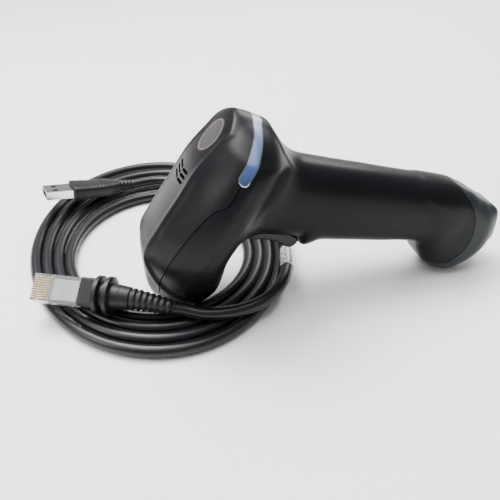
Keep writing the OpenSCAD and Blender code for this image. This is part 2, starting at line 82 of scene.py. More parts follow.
def plastic(name, colour, rough=0.42, grain=0.35, grain_scale=2600.0, tone=0.25, specular=0.5,
            coat=0.0, coat_rough=0.2, bump=0.06):
    """Moulded plastic: fine spark-eroded grain, slight tone change over large areas."""
    m, nt, b = node_tree(name)
    b.inputs["Specular IOR Level"].default_value = specular
    b.inputs["Coat Weight"].default_value = coat
    b.inputs["Coat Roughness"].default_value = coat_rough
    co = nt.nodes.new("ShaderNodeTexCoord")
    big = nt.nodes.new("ShaderNodeTexNoise")
    big.inputs["Scale"].default_value = 28.0
    big.inputs["Detail"].default_value = 3.0
    fine = nt.nodes.new("ShaderNodeTexNoise")
    fine.inputs["Scale"].default_value = grain_scale
    fine.inputs["Detail"].default_value = 4.0
    fine.inputs["Roughness"].default_value = 0.6
    for n in (big, fine):
        nt.links.new(co.outputs["Object"], n.inputs["Vector"])
    ramp = nt.nodes.new("ShaderNodeValToRGB")
    lo = [max(c * (1 - tone), 0) for c in colour]
    hi = [min(c * (1 + tone), 1) for c in colour]
    ramp.color_ramp.elements[0].position, ramp.color_ramp.elements[1].position = 0.3, 0.7
    ramp.color_ramp.elements[0].color = (*lo, 1)
    ramp.color_ramp.elements[1].color = (*hi, 1)
    nt.links.new(big.outputs["Fac"], ramp.inputs["Fac"])
    nt.links.new(ramp.outputs["Color"], b.inputs["Base Color"])
    rr = nt.nodes.new("ShaderNodeMapRange")
    rr.inputs["To Min"].default_value = rough - 0.07 * grain
    rr.inputs["To Max"].default_value = rough + 0.14 * grain
    nt.links.new(fine.outputs["Fac"], rr.inputs["Value"])
    nt.links.new(rr.outputs["Result"], b.inputs["Roughness"])
    bp = nt.nodes.new("ShaderNodeBump")
    bp.inputs["Strength"].default_value = bump
    bp.inputs["Distance"].default_value = 0.0004
    nt.links.new(fine.outputs["Fac"], bp.inputs["Height"])
    nt.links.new(bp.outputs["Normal"], b.inputs["Normal"])
    return m


def metal(name, colour, rough=0.25, streak=(1, 1, 1), scale=900.0):
    m, nt, b = node_tree(name)
    b.inputs["Metallic"].default_value = 1.0
    co = nt.nodes.new("ShaderNodeTexCoord")
    mp = nt.nodes.new("ShaderNodeMapping")
    mp.inputs["Scale"].default_value = streak
    no = nt.nodes.new("ShaderNodeTexNoise")
    no.inputs["Scale"].default_value = scale
    no.inputs["Detail"].default_value = 5.0
    nt.links.new(co.outputs["Object"], mp.inputs["Vector"])
    nt.links.new(mp.outputs["Vector"], no.inputs["Vector"])
    ramp = nt.nodes.new("ShaderNodeValToRGB")
    ramp.color_ramp.elements[0].color = (*[c * 0.82 for c in colour], 1)
    ramp.color_ramp.elements[1].color = (*[min(c * 1.08, 1) for c in colour], 1)
    nt.links.new(no.outputs["Fac"], ramp.inputs["Fac"])
    nt.links.new(ramp.outputs["Color"], b.inputs["Base Color"])
    rr = nt.nodes.new("ShaderNodeMapRange")
    rr.inputs["To Min"].default_value = rough * 0.8
    rr.inputs["To Max"].default_value = rough * 1.35
    nt.links.new(no.outputs["Fac"], rr.inputs["Value"])
    nt.links.new(rr.outputs["Result"], b.inputs["Roughness"])
    return m


def clear(name, colour, rough=0.08, ior=1.49, transmission=0.9, haze=900.0):
    m, nt, b = node_tree(name)
    b.inputs["IOR"].default_value = ior
    b.inputs["Transmission Weight"].default_value = transmission
    co = nt.nodes.new("ShaderNodeTexCoord")
    no = nt.nodes.new("ShaderNodeTexNoise")
    no.inputs["Scale"].default_value = haze
    nt.links.new(co.outputs["Object"], no.inputs["Vector"])
    ramp = nt.nodes.new("ShaderNodeValToRGB")
    ramp.color_ramp.elements[0].color = (*[c * 0.94 for c in colour], 1)
    ramp.color_ramp.elements[1].color = (*colour, 1)
    nt.links.new(no.outputs["Fac"], ramp.inputs["Fac"])
    nt.links.new(ramp.outputs["Color"], b.inputs["Base Color"])
    rr = nt.nodes.new("ShaderNodeMapRange")
    rr.inputs["To Min"].default_value = rough
    rr.inputs["To Max"].default_value = rough + 0.08
    nt.links.new(no.outputs["Fac"], rr.inputs["Value"])
    nt.links.new(rr.outputs["Result"], b.inputs["Roughness"])
    return m


M = {
    "housing_plastic": plastic("housing_plastic", (0.0045, 0.0047, 0.0060), 0.33, specular=0.12),
    "cover_plastic": plastic("cover_plastic", (0.0045, 0.0047, 0.0058), 0.29, specular=0.16, grain=0.8,
                             bump=0.16),
    "cap_plastic": plastic("cap_plastic", (0.010, 0.014, 0.0155), 0.36, specular=0.2),
    "bezel_plastic": plastic("bezel_plastic", (0.012, 0.012, 0.013), 0.5),
    "trigger_plastic": plastic("trigger_plastic", (0.009, 0.0098, 0.011), 0.34, specular=0.3),
    "gasket_rubber": plastic("gasket_rubber", (0.01, 0.01, 0.01), 0.7),
    "window_red": clear("window_red", (0.45, 0.02, 0.03), 0.03, 1.49, 0.75),
    "badge_face": plastic("badge_face", (0.045, 0.046, 0.05), 0.25, grain=0.1, coat=0.5, coat_rough=0.12),
    "badge_ring": plastic("badge_ring", (0.33, 0.13, 0.13), 0.3, grain=0.1),
    "steel": metal("steel", (0.62, 0.62, 0.63), 0.28),
    "red_plastic": plastic("red_plastic", (0.35, 0.08, 0.05), 0.4),
    "board_green": plastic("board_green", (0.02, 0.11, 0.05), 0.3, tone=0.4),
    "flex_amber": plastic("flex_amber", (0.5, 0.3, 0.1), 0.35),
    "chassis_metal": metal("chassis_metal", (0.6, 0.61, 0.62), 0.4),
    "mirror_carrier": plastic("mirror_carrier", (0.03, 0.03, 0.034), 0.45),
    "mirror_face": metal("mirror_face", (0.9, 0.91, 0.92), 0.05),
    "copper_wire": metal("copper_wire", (0.75, 0.35, 0.16), 0.35, (1, 1, 9), 2500),
    "brass": metal("brass", (0.75, 0.57, 0.27), 0.28),
    "lens_glass": clear("lens_glass", (0.8, 0.9, 0.95), 0.02, 1.5, 1.0),
    "led_white": plastic("led_white", (0.85, 0.86, 0.95), 0.15, grain=0.1, coat=0.8),
    "socket_plastic": plastic("socket_plastic", (0.02, 0.02, 0.022), 0.5),
    "gold_contacts": metal("gold_contacts", (0.9, 0.66, 0.28), 0.22),
    "cable_jacket": plastic("cable_jacket", (0.0065, 0.007, 0.0085), 0.30, specular=0.35, grain=0.5,
                            grain_scale=1500, tone=0.2, bump=0.04),
    "boot_plastic": plastic("boot_plastic", (0.008, 0.009, 0.0105), 0.40, specular=0.3),
    "clear_plastic": clear("clear_plastic", (0.93, 0.95, 0.96), 0.06, 1.5, 0.88),
    "usb_metal": metal("usb_metal", (0.78, 0.78, 0.79), 0.16, (1, 1, 1), 400),
    "tongue_plastic": plastic("tongue_plastic", (0.012, 0.012, 0.014), 0.4),
    "wire_core": plastic("wire_core", (0.66, 0.67, 0.69), 0.3, grain_scale=600, tone=0.5),
}


def by_height(name, lo, hi, stops, rough, coat=0.6):
    """Glossy moulding whose colour follows its height; its ramp holds painted highlights as well as the
    part's own tint.
    """
    m, nt, b = node_tree(name)
    b.inputs["Coat Weight"].default_value = coat
    b.inputs["Coat Roughness"].default_value = 0.06
    b.inputs["Roughness"].default_value = rough
    co = nt.nodes.new("ShaderNodeTexCoord")
    se = nt.nodes.new("ShaderNodeSeparateXYZ")
    nt.links.new(co.outputs["Object"], se.inputs["Vector"])
    mr = nt.nodes.new("ShaderNodeMapRange")
    mr.inputs["From Min"].default_value, mr.inputs["From Max"].default_value = lo, hi
    nt.links.new(se.outputs["Z"], mr.inputs["Value"])
    ramp = nt.nodes.new("ShaderNodeValToRGB")
    e = ramp.color_ramp.elements
    e[0].position, e[0].color = stops[0][0], (*stops[0][1], 1)
    e[1].position, e[1].color = stops[-1][0], (*stops[-1][1], 1)
    for p, c in stops[1:-1]:
        e.new(p).color = (*c, 1)
    nt.links.new(mr.outputs["Result"], ramp.inputs["Fac"])
    nt.links.new(ramp.outputs["Color"], b.inputs["Base Color"])
    return m


BAND_LOW, BAND_HIGH = 0.067, 0.087
# lens colour by height: its own dark blue tint in the middle, lighter towards both ends where highlights are
# painted
LENS_TINT_AND_SHEEN_STOPS = [(0.0, (0.12, 0.15, 0.22)), (0.1, (0.02, 0.04, 0.10)), (0.45, (0.035, 0.07, 0.19)),
              (0.72, (0.10, 0.14, 0.27)), (1.0, (0.42, 0.44, 0.5))]
# rim colour by height: its own dark grey in the middle, with painted highlights at the ends, silver at the
# lower end and grey at the top
RIM_SHEEN_STOPS = [(0.0, (0.75, 0.76, 0.78)), (0.13, (0.55, 0.57, 0.6)), (0.22, (0.06, 0.07, 0.10)),
             (0.8, (0.05, 0.06, 0.08)), (1.0, (0.4, 0.41, 0.43))]
M["light_band"] = by_height("light_band", BAND_LOW, BAND_HIGH, LENS_TINT_AND_SHEEN_STOPS, 0.3, 0.25)
M["band_rim"] = by_height("band_rim", BAND_LOW - 0.001, BAND_HIGH, RIM_SHEEN_STOPS, 0.2)


def label_material():
    """Printed sleeve: pale paper under clear film with small dark random marks, no lettering."""
    m, nt, b = node_tree("label_paper")
    b.inputs["Coat Weight"].default_value = 0.7
    b.inputs["Coat Roughness"].default_value = 0.08
    b.inputs["Roughness"].default_value = 0.35
    co = nt.nodes.new("ShaderNodeTexCoord")
    vo = nt.nodes.new("ShaderNodeTexNoise")
    vo.inputs["Scale"].default_value = 900.0
    vo.inputs["Detail"].default_value = 2.0
    ramp = nt.nodes.new("ShaderNodeValToRGB")
    ramp.color_ramp.interpolation = "LINEAR"
    ramp.color_ramp.elements[0].position, ramp.color_ramp.elements[0].color = 0.44, (0.10, 0.10, 0.11, 1)
    ramp.color_ramp.elements[1].position, ramp.color_ramp.elements[1].color = 0.54, (0.62, 0.63, 0.65, 1)
    nt.links.new(co.outputs["Object"], vo.inputs["Vector"])
    nt.links.new(vo.outputs["Fac"], ramp.inputs["Fac"])
    nt.links.new(ramp.outputs["Color"], b.inputs["Base Color"])
    return m


M["label_paper"] = label_material()


# ---------------------------------------------------------------- mesh helpers
def new_object(name, verts, faces):
    me = bpy.data.meshes.new(name)
    me.from_pydata([tuple(v) for v in verts], [], [tuple(int(i) for i in f) for f in faces])
    me.update()
    o = bpy.data.objects.new(name, me)
    bpy.context.scene.collection.objects.link(o)
    return o


def fix_normals(o):
    bm = bmesh.new()
    bm.from_mesh(o.data)
    bmesh.ops.recalc_face_normals(bm, faces=bm.faces)
    bm.to_mesh(o.data)
    bm.free()


def ring_solid(name, points, n):
    """Closed solid through rings of n points each, with flat ends."""
    m = len(points) // n
    ends = [list(range(n)), list(range((m - 1) * n, m * n))[::-1]]
    sides = [[i * n + k, (i + 1) * n + k, (i + 1) * n + (k + 1) % n, i * n + (k + 1) % n]
             for i in range(m - 1) for k in range(n)]
    o = new_object(name, points, ends + sides)
    fix_normals(o)
    return o


def oval(k, n, a, b, power=2.0):
    """Point k of n on a superellipse with half widths a and b."""
    q = 2 * math.pi * k / n
    c, s = math.cos(q), math.sin(q)
    return (a * math.copysign(abs(c) ** (2 / power), c), b * math.copysign(abs(s) ** (2 / power), s))


def turned(p, origin, roll=0.0, pitch=0.0, yaw=0.0):
    """Point p turned about X, then Y, then Z, and moved to origin."""
    x, y, z = p
    y, z = y * math.cos(roll) - z * math.sin(roll), y * math.sin(roll) + z * math.cos(roll)
    x, z = x * math.cos(pitch) + z * math.sin(pitch), -x * math.sin(pitch) + z * math.cos(pitch)
    x, y = x * math.cos(yaw) - y * math.sin(yaw), x * math.sin(yaw) + y * math.cos(yaw)
    return np.array([x + origin[0], y + origin[1], z + origin[2]])


def boolean(a, b, op):
    """Exact boolean of a with b: a takes the new mesh, b stays as it is."""
    mod = a.modifiers.new("cut", "BOOLEAN")
    mod.operation, mod.object, mod.solver = op, b, "MANIFOLD"
    bpy.context.view_layer.update()
    me = bpy.data.meshes.new_from_object(a.evaluated_get(bpy.context.evaluated_depsgraph_get()))
    a.modifiers.clear()
    a.data = me
    return a


def copy(o, name):
    c = bpy.data.objects.new(name, o.data.copy())
    bpy.context.scene.collection.objects.link(c)
    return c


def drop(*objs):
    for o in objs:
        bpy.data.objects.remove(o)


def finish_piece(o, body, material, angle=32, replaces=()):
    """Working millimetres to metres, smooth shading with sharp seams, material, body."""
    n = len(o.data.vertices)
    co = np.zeros(n * 3)
    o.data.vertices.foreach_get("co", co)
    o.data.vertices.foreach_set("co", row(co.reshape(-1, 3)).ravel())
    o.data.materials.clear()
    o.data.materials.append(M[material])
    o.data.polygons.foreach_set("material_index", [0] * len(o.data.polygons))
    o.data.update()
    o.data.shade_smooth()
    o.data.set_sharp_from_angle(angle=math.radians(angle))
    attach(o, body)
    if replaces:
        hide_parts(*replaces)
    return o


def prism(name, poly, half, frame_fn):
    """Closed prism of a 2-D outline, from -half to +half across, placed by frame_fn(u, y, v)."""
    return ring_solid(name, [frame_fn(p[0], y, p[1]) for y in (-half, half) for p in poly], len(poly))


def disc_prism(name, c, axis_u, axis_v, axis_w, radius, w0, w1, n=64):
    """Closed round bar of a given radius about c, from w0 to w1 along axis_w."""
    c, u, v, w = (np.array(q, float) for q in (c, axis_u, axis_v, axis_w))
    ring = [radius * (math.cos(t) * u + math.sin(t) * v) for t in np.arange(n) * 2 * math.pi / n]
    return ring_solid(name, [c + r + h * w for h in (w0, w1) for r in ring], n)


def stadium(p, q, r, n=14):
    """Outline of a rounded bar from p to q."""
    p, q = np.array(p, float), np.array(q, float)
    a = math.atan2(q[1] - p[1], q[0] - p[0])

    def arc(centre, start):
        angles = np.linspace(start, start + math.pi, n)
        return [centre + r * np.array([math.cos(t), math.sin(t)]) for t in angles]

    return arc(q, a - math.pi / 2) + arc(p, a + math.pi / 2)


def side_view(u, y, v):
    """Places an outline drawn in the scanner's own side view."""
    return (u, y, v)


def offset_poly(poly, g):
    """Outline moved outwards by g."""
    P = np.array(poly, float)
    A = 0.5 * np.sum(P[:, 0] * np.roll(P[:, 1], -1) - np.roll(P[:, 0], -1) * P[:, 1])
    s = 1 if A > 0 else -1
    out = []
    for i in range(len(P)):
        d0, d1 = P[i] - P[i - 1], P[(i + 1) % len(P)] - P[i]
        n0 = s * np.array([d0[1], -d0[0]]) / np.linalg.norm(d0)
        n1 = s * np.array([d1[1], -d1[0]]) / np.linalg.norm(d1)
        m = (n0 + n1) / max(1 + n0 @ n1, 0.2)
        out.append(P[i] + g * m)
    return out


# ---------------------------------------------------------------- body shape
# Head stations: distance from the nose end, top, underside and half width about the head's own line.
# Grip stations: distance along the handle, top, underside and half width.
TILT, SLOPE = math.radians(66), math.radians(13)
HEAD0, GRIP0 = (38.6, 83.7), (41.2, 50.4)
HEAD = np.array([[0, 11.3, 3.3, 3], [4, 12.8, 7.6, 16.5], [8, 14.4, 10.8, 24], [12, 15.7, 12.6, 29],
                 [25, 20.5, 10.1, 32], [39, 23.1, 8, 33], [54, 26.1, 7.7, 30.5], [66, 27.6, 9.8, 25.5],
                 [77, 23.2, 11.4, 18], [87, 17.3, 10.8, 10.8], [94, 9.7, -5.7, 3]])
GRIP = [(0, 18.1, 18.1, 15.4), (12, 17.9, 17.9, 15.2), (17.5, 17.65, 18.25, 15.1),
        (19.8, 17.55, 21.7, 15.05), (21.4, 17.5, 22.5, 15), (23.6, 17.45, 21.4, 15), (26, 17.3, 19.7, 15),
        (29, 17.2, 18.8, 14.95), (36, 17.0, 18.3, 14.85), (44, 16.8, 17.8, 14.7), (58, 16.25, 16.95, 14.4),
        (68, 16, 16, 14.2), (82.4, 15.5, 15.5, 13.9), (91, 13.9, 14.9, 13), (98, 8.5, 13.5, 10)]
# side view of the butt, and the seam between housing and end cap
BUTT = [(108.5, 49.5), (125, 45.8), (131, 44.3), (136.5, 42.3), (140.2, 40.3), (143.3, 38), (146.5, 36),
        (149.9, 33.7), (152.3, 30.9), (153.6, 27.3), (154, 22), (152.9, 16.5), (150.6, 11), (147.2, 7),
        (142.8, 3.7), (137.2, 1.2), (131, 0.0), (125.6, 1.2), (120.5, 4.8), (116.8, 9.7), (114.8, 15),
        (114.2, 21), (113.9, 27), (112, 34)]
SEAM = [(90, 75), (90, 16), (108, 11.5), (114, 9.3), (119.9, 7.9), (124, 7.4), (129.2, 8.4), (132.9, 10.7),
        (136, 13.8), (138.1, 18.5), (138.9, 24), (138.3, 30), (136.6, 35), (134.5, 39), (131.8, 43.3),
        (128, 49), (122, 58), (118, 75)]
BUTT_W, BUTT_E = 13.8, 9.0
N_TOP, N_LOW, PANEL_W, CROWN = 1.7, 2.5, 15.4, 0.8
# the edge along each flank of the crown: how far out it runs, its step down and its small bead
CREASE_Y, CREASE_STEP, CREASE_BEAD = 13.2, 0.5, 0.25
# block round the cable socket: centre, half sizes inside its rounding, and the rounding
BLOCK_AT, BLOCK_CORE, BLOCK_R = (144.8, 0, 23.5), (5.3, 6.1, 5.0), 4.4
WALL, LID = 2.2, 1.2


def table(s, xs, ys):
    """Smooth curve through the stations."""
    xs, ys = np.asarray(xs, float), np.asarray(ys, float)
    m = np.empty(len(xs))
    m[1:-1] = (ys[2:] - ys[:-2]) / (xs[2:] - xs[:-2])
    m[0], m[-1] = (ys[1] - ys[0]) / (xs[1] - xs[0]), (ys[-1] - ys[-2]) / (xs[-1] - xs[-2])
    s = np.clip(s, xs[0], xs[-1])
    i = np.clip(np.searchsorted(xs, s) - 1, 0, len(xs) - 2)
    h = xs[i + 1] - xs[i]
    t = (s - xs[i]) / h
    return ((2 * t**3 - 3 * t**2 + 1) * ys[i] + (t**3 - 2 * t**2 + t) * h * m[i]
            + (-2 * t**3 + 3 * t**2) * ys[i + 1] + (t**3 - t**2) * h * m[i + 1])


def smin(a, b, k):
    h = np.clip(0.5 + 0.5 * (b - a) / k, 0, 1)
    return b + (a - b) * h - k * h * (1 - h)


def smax(a, b, k):
    return -smin(-a, -b, k)


HS = (-math.cos(TILT), -math.sin(TILT))
HT = (-math.sin(TILT), math.cos(TILT))
GA = (math.cos(SLOPE), -math.sin(SLOPE))
GB = (math.sin(SLOPE), math.cos(SLOPE))


def head_pt(s, y, t):
    return (HEAD0[0] + s * HS[0] + t * HT[0], y, HEAD0[1] + s * HS[1] + t * HT[1])


def grip_pt(a, y, b):
    return (GRIP0[0] + a * GA[0] + b * GB[0], y, GRIP0[1] + a * GA[1] + b * GB[1])


def head_f(x, y, z):
    s = (x - HEAD0[0]) * HS[0] + (z - HEAD0[1]) * HS[1]
    t = (x - HEAD0[0]) * HT[0] + (z - HEAD0[1]) * HT[1]
    top, low, hw = (table(s, HEAD[:, 0], HEAD[:, k]) for k in (1, 2, 3))
    c = (top - low) * 0.35
    ht, hb, hw = np.maximum(top - c, 2), np.maximum(low + c, 2), np.maximum(hw, 3)
    t = t - c
    wc = np.minimum(PANEL_W, 0.5 * hw)
    dropv = CROWN * wc / PANEL_W
    k = (ht - dropv) / (1 - (wc / hw) ** N_TOP) ** (1 / N_TOP)
    ay = np.abs(y) / hw
    r = np.where(t > 0, (ay**N_TOP + (np.maximum(t, 0) / k) ** N_TOP) ** (1 / N_TOP),
                 (ay**N_LOW + (np.maximum(-t, 0) / hb) ** N_LOW) ** (1 / N_LOW))
    d = (r - 1) * np.minimum(np.where(t > 0, k, hb), hw)
    d = smax(d, t - (ht - dropv * (y / wc) ** 2), 1.0)
    off = np.abs(y) - np.minimum(CREASE_Y, 3.2 + 1.9 * np.maximum(s + 0.6, 0) ** 0.85)
    d = d + CREASE_STEP * np.clip(off / 1.6 + 0.5, 0, 1) - CREASE_BEAD * np.exp(-((off + 1.2) / 1.2) ** 2)
    return smax(d, np.maximum(-s, s - HEAD[-1, 0]), 2.0)


def grip_f(x, y, z):
    a = (x - GRIP0[0]) * GA[0] + (z - GRIP0[1]) * GA[1]
    b = (x - GRIP0[0]) * GB[0] + (z - GRIP0[1]) * GB[1]
    st = [g[0] for g in GRIP]
    hd = np.where(b > 0, table(a, st, [g[1] for g in GRIP]), table(a, st, [g[2] for g in GRIP]))
    hw = table(a, st, [g[3] for g in GRIP])
    r = ((np.abs(y) / hw) ** 2.5 + (np.abs(b) / hd) ** 2.5) ** 0.4
    d = (r - 1) * np.minimum(hd, hw)
    return smax(d, np.maximum(-a - 12, a - st[-1]), 3.0)


def polygon_sdf(P, u, v):
    """Signed distance to a 2-D outline."""
    P = np.array(P, float)
    d = np.full(np.shape(u), 1e9)
    inside = np.zeros(np.shape(u), bool)
    for i in range(len(P)):
        a, b = P[i], P[(i + 1) % len(P)]
        e = b - a
        wu, wv = u - a[0], v - a[1]
        t = np.clip((wu * e[0] + wv * e[1]) / (e @ e), 0, 1)
        d = np.minimum(d, np.hypot(wu - e[0] * t, wv - e[1] * t))
        inside ^= ((a[1] > v) != (b[1] > v)) & (u < (b[0] - a[0]) * (v - a[1]) / (b[1] - a[1] + 1e-12) + a[0])
    return np.where(inside, -d, d)


def corner_cut(poly, rounds=2):
    """Corner cutting, so that an outline runs in soft curves."""
    P = [np.array(p, float) for p in poly]
    for _ in range(rounds):
        P = [q for i in range(len(P)) for q in (P[i] * 0.75 + P[(i + 1) % len(P)] * 0.25,
                                                P[i] * 0.25 + P[(i + 1) % len(P)] * 0.75)]
    return P


SDF_X, SDF_Z = np.arange(-20, 161, 0.5), np.arange(-8, 94, 0.5)
SDF_V = polygon_sdf(corner_cut(BUTT), *np.meshgrid(SDF_X, SDF_Z, indexing="ij"))


def sdf_table(x, z):
    """Distance to the side outline of the butt, read bilinearly from its grid."""
    i = np.clip((x - SDF_X[0]) / 0.5, 0, len(SDF_X) - 1.001)
    j = np.clip((z - SDF_Z[0]) / 0.5, 0, len(SDF_Z) - 1.001)
    i0, j0 = i.astype(int), j.astype(int)
    u, v = i - i0, j - j0
    return ((1 - u) * (1 - v) * SDF_V[i0, j0] + u * (1 - v) * SDF_V[i0 + 1, j0]
            + (1 - u) * v * SDF_V[i0, j0 + 1] + u * v * SDF_V[i0 + 1, j0 + 1])


def rounded(*d):
    """Distance to a solid from its distances to crossing slabs, with round outer edges."""
    q = np.stack(np.broadcast_arrays(*d))
    return np.sqrt((np.maximum(q, 0) ** 2).sum(0)) + np.minimum(q.max(0), 0)


def butt_f(x, y, z):
    return rounded(sdf_table(x, z) + BUTT_E, np.abs(y) - (BUTT_W - BUTT_E)) - BUTT_E


def block_f(x, y, z):
    return rounded(*[np.abs(q - c) - h for q, c, h in zip((x, y, z), BLOCK_AT, BLOCK_CORE)]) - BLOCK_R


def body_f(x, y, z):
    d = smin(smin(head_f(x, y, z), grip_f(x, y, z), 14.4), butt_f(x, y, z), 3.0)
    return smax(smin(d, block_f(x, y, z), 2.0), -z, 0.3)


def nets(f, lo, hi, step):
    """Closed quad mesh of f < 0 on a grid, its points then moved onto the surface."""
    lo, hi = np.array(lo, float), np.array(hi, float)
    n = np.ceil((hi - lo) / step).astype(int) + 1
    ax = [lo[i] + step * np.arange(n[i]) for i in range(3)]
    X, Y, Z = np.meshgrid(*ax, indexing="ij")
    v = f(X, Y, Z)
    s = v < 0
    cells = sum(s[i:n[0] - 1 + i, j:n[1] - 1 + j, k:n[2] - 1 + k].astype(int)
                for i in (0, 1) for j in (0, 1) for k in (0, 1))
    act = (cells > 0) & (cells < 8)
    idx = -np.ones(act.shape, int)
    idx[act] = np.arange(act.sum())
    C = np.argwhere(act)
    acc, cnt = np.zeros((len(C), 3)), np.zeros(len(C))
    for a in [(i, j, k) for i in (0, 1) for j in (0, 1) for k in (0, 1)]:
        for d in range(3):
            if a[d]:
                continue
            b = list(a)
            b[d] = 1
            va = v[C[:, 0] + a[0], C[:, 1] + a[1], C[:, 2] + a[2]]
            vb = v[C[:, 0] + b[0], C[:, 1] + b[1], C[:, 2] + b[2]]
            m = (va < 0) != (vb < 0)
            t = np.where(m, va / np.where(m, va - vb, 1), 0)
            p = np.tile(np.array(a, float), (len(C), 1))
            p[:, d] += t
            acc[m] += p[m]
            cnt[m] += 1
    V = (C + acc / cnt[:, None]) * step + lo
    F = []
    for d in range(3):
        s0, s1 = [slice(None)] * 3, [slice(None)] * 3
        s0[d], s1[d] = slice(0, -1), slice(1, None)
        E = np.argwhere(s[tuple(s0)] != s[tuple(s1)])
        u, w = (d + 1) % 3, (d + 2) % 3
        E = E[(E[:, u] > 0) & (E[:, w] > 0) & (E[:, u] < n[u] - 1) & (E[:, w] < n[w] - 1)]

        def cell(du, dw):
            c = E.copy()
            c[:, u] -= du
            c[:, w] -= dw
            return idx[c[:, 0], c[:, 1], c[:, 2]]

        q = np.stack([cell(1, 1), cell(0, 1), cell(0, 0), cell(1, 0)], -1)
        flip = ~s[tuple(E.T)]
        q[flip] = q[flip][:, ::-1]
        F.append(q)
    h = 0.05
    for _ in range(3):
        fv = f(*V.T)
        g = np.stack([(f(*(V + h * e).T) - f(*(V - h * e).T)) / (2 * h) for e in np.eye(3)], -1)
        V = V - np.clip(fv / np.maximum((g**2).sum(-1), 0.05), -step / 2, step / 2)[:, None] * g
    return V, np.concatenate(F)


STEP = 1.0
BOX_LO, BOX_HI = (-18.3, -36.3, -6.3), (158.3, 36.3, 92.3)
outer = new_object("outer", *nets(body_f, BOX_LO, BOX_HI, STEP))
inner = new_object("inner", *nets(lambda x, y, z: body_f(x, y, z) + WALL, BOX_LO, BOX_HI, 2.0))
skin = new_object("skin", *nets(lambda x, y, z: body_f(x, y, z) + LID, BOX_LO, BOX_HI, 2.0))

# mouth frame: u along the opening from the nose tip, y across, n outwards
MOUTH_TILT = math.radians(35.4)
MU = (math.cos(MOUTH_TILT), math.sin(MOUTH_TILT))
MN = (math.sin(MOUTH_TILT), -math.cos(MOUTH_TILT))


def mouth_pt(u, y, n):
    return (1.5 + u * MU[0] + n * MN[0], y, u * MU[1] + n * MN[1])


cut = prism("cut", [(-40, 0), (24, 0), (24, 40), (-40, 40)], 40, mouth_pt)
shell = copy(outer, "shell")
boolean(shell, inner, "DIFFERENCE")
boolean(shell, cut, "DIFFERENCE")
lid = copy(outer, "lid")
boolean(lid, skin, "DIFFERENCE")
boolean(lid, cut, "DIFFERENCE")
floor_cut = prism("floor_cut", [(-60, -60), (200, -60), (200, 0), (-60, 0)], 60, side_view)
boolean(shell, floor_cut, "DIFFERENCE")

# outline of the top cover in the head's side view: along the head, and outwards
COVER = [(-20, -3.5), (2, 2.6), (18, 6.8), (25, 7.8), (29, 9), (31.5, 11.8), (36, 13.8), (46.5, 16.5),
         (55, 18), (64, 18.8), (76, 17), (86, 13.5), (96, 9), (110, 4), (110, 60), (-20, 60)]

# half of the seam between two shells
GAP = 0.16
cover_poly = corner_cut(COVER)
cover_in = prism("cover_in", offset_poly(cover_poly, -GAP), 45, head_pt)
cover_out = prism("cover_out", offset_poly(cover_poly, GAP), 45, head_pt)
# light band: the ends and half width of its bar in the same view
BAND_A, BAND_B, BAND_R = (-6, 0.6), (17.2, 6.6), 1.9
# badge: its place along the head, its radius, and the outer and inner radius of its thin ring
BADGE_S, BADGE_R, RING_OUT, RING_IN = 13, 7.45, 6.75, 6.5
band_cut = prism("band_cut", stadium(BAND_A, BAND_B, BAND_R + 0.12), 45, head_pt)
band_bar = prism("band_bar", stadium(BAND_A, BAND_B, BAND_R - 0.42), 45, head_pt)
band_gap = prism("band_gap", stadium(BAND_A, BAND_B, BAND_R - 0.36), 45, head_pt)
band_rim_bar = prism("band_rim_bar", stadium(BAND_A, BAND_B, BAND_R), 45, head_pt)
HEAD_OUT = (HT[0], 0, HT[1])
HEAD_ALONG = (HS[0], 0, HS[1])


def head_disc(name, r):
    """Round bar through the badge, square to the crown."""
    return disc_prism(name, head_pt(BADGE_S, 0, 0), HEAD_ALONG, (0, 1, 0), HEAD_OUT, r, 5, 30)


def cap_prisms(g):
    """Everything behind the cap seam, grown by g."""
    wedge = prism("wedge", [(106, -5), (175, -10), (175, 80), (106, 80)], 45, side_view)
    hole = prism("hole", offset_poly(corner_cut(SEAM), -g), 46, side_view)
    boolean(wedge, hole, "DIFFERENCE")
    drop(hole)
    return wedge


# top cover
cover = copy(shell, "top_cover_shell")
boolean(cover, cover_in, "INTERSECT")
boolean(cover, band_cut, "DIFFERENCE")
recess = head_disc("recess", BADGE_R + 0.17)
well = copy(recess, "well")
boolean(well, skin, "DIFFERENCE")
boolean(cover, well, "DIFFERENCE")
SLOT_S, SLOT_STEP, SLOT_Y, SLOT_LEAN = 29.6, 2.3, 3.9, math.radians(-9)
SLOT_HALF, SLOT_R = 2.9, 0.66
for side in (-1, 1):
    lean = np.array([math.sin(SLOT_LEAN * side), math.cos(SLOT_LEAN)]) * SLOT_HALF
    for i in range(3):
        mid = np.array([SLOT_S + SLOT_STEP * i, SLOT_Y * side])
        outline = stadium(mid - lean, mid + lean, SLOT_R, 8)
        slot = ring_solid("slot", [head_pt(p[0], p[1], t) for t in (12, 34) for p in outline], len(outline))
        boolean(cover, slot, "DIFFERENCE")
        drop(slot)
finish_piece(cover, "scanner", "cover_plastic", replaces=["top_cover"])

# housing: underside of the head and the handle
housing = copy(shell, "housing_shell")
cap_out, cap_in = cap_prisms(GAP), cap_prisms(-GAP)
boolean(housing, cover_out, "DIFFERENCE")
boolean(housing, cap_out, "DIFFERENCE")
boolean(housing, band_cut, "DIFFERENCE")
slot_box = prism("slot_box", [(-4.4, -10), (-4.4, -30), (20.2, -30), (20.2, -10)], 7.3, grip_pt)
boolean(housing, slot_box, "DIFFERENCE")
finish_piece(housing, "scanner", "housing_plastic", replaces=["main_housing"])

# end cap with the mouth of the cable socket and the screw recess
cap = copy(shell, "end_cap_shell")
boolean(cap, cap_in, "INTERSECT")
sock = prism("sock", [(136, 17.4), (170, 17.4), (170, 29.6), (136, 29.6)], 7.5, side_view)
boolean(cap, sock, "DIFFERENCE")
screw_hole = disc_prism("screw_hole", (130, 0, 10), (0, 1, 0), (0, 0, 1), (1, 0, 0), 2.4, 0, 40, 32)
boolean(cap, screw_hole, "DIFFERENCE")
finish_piece(cap, "scanner", "cap_plastic", replaces=["end_cap"])
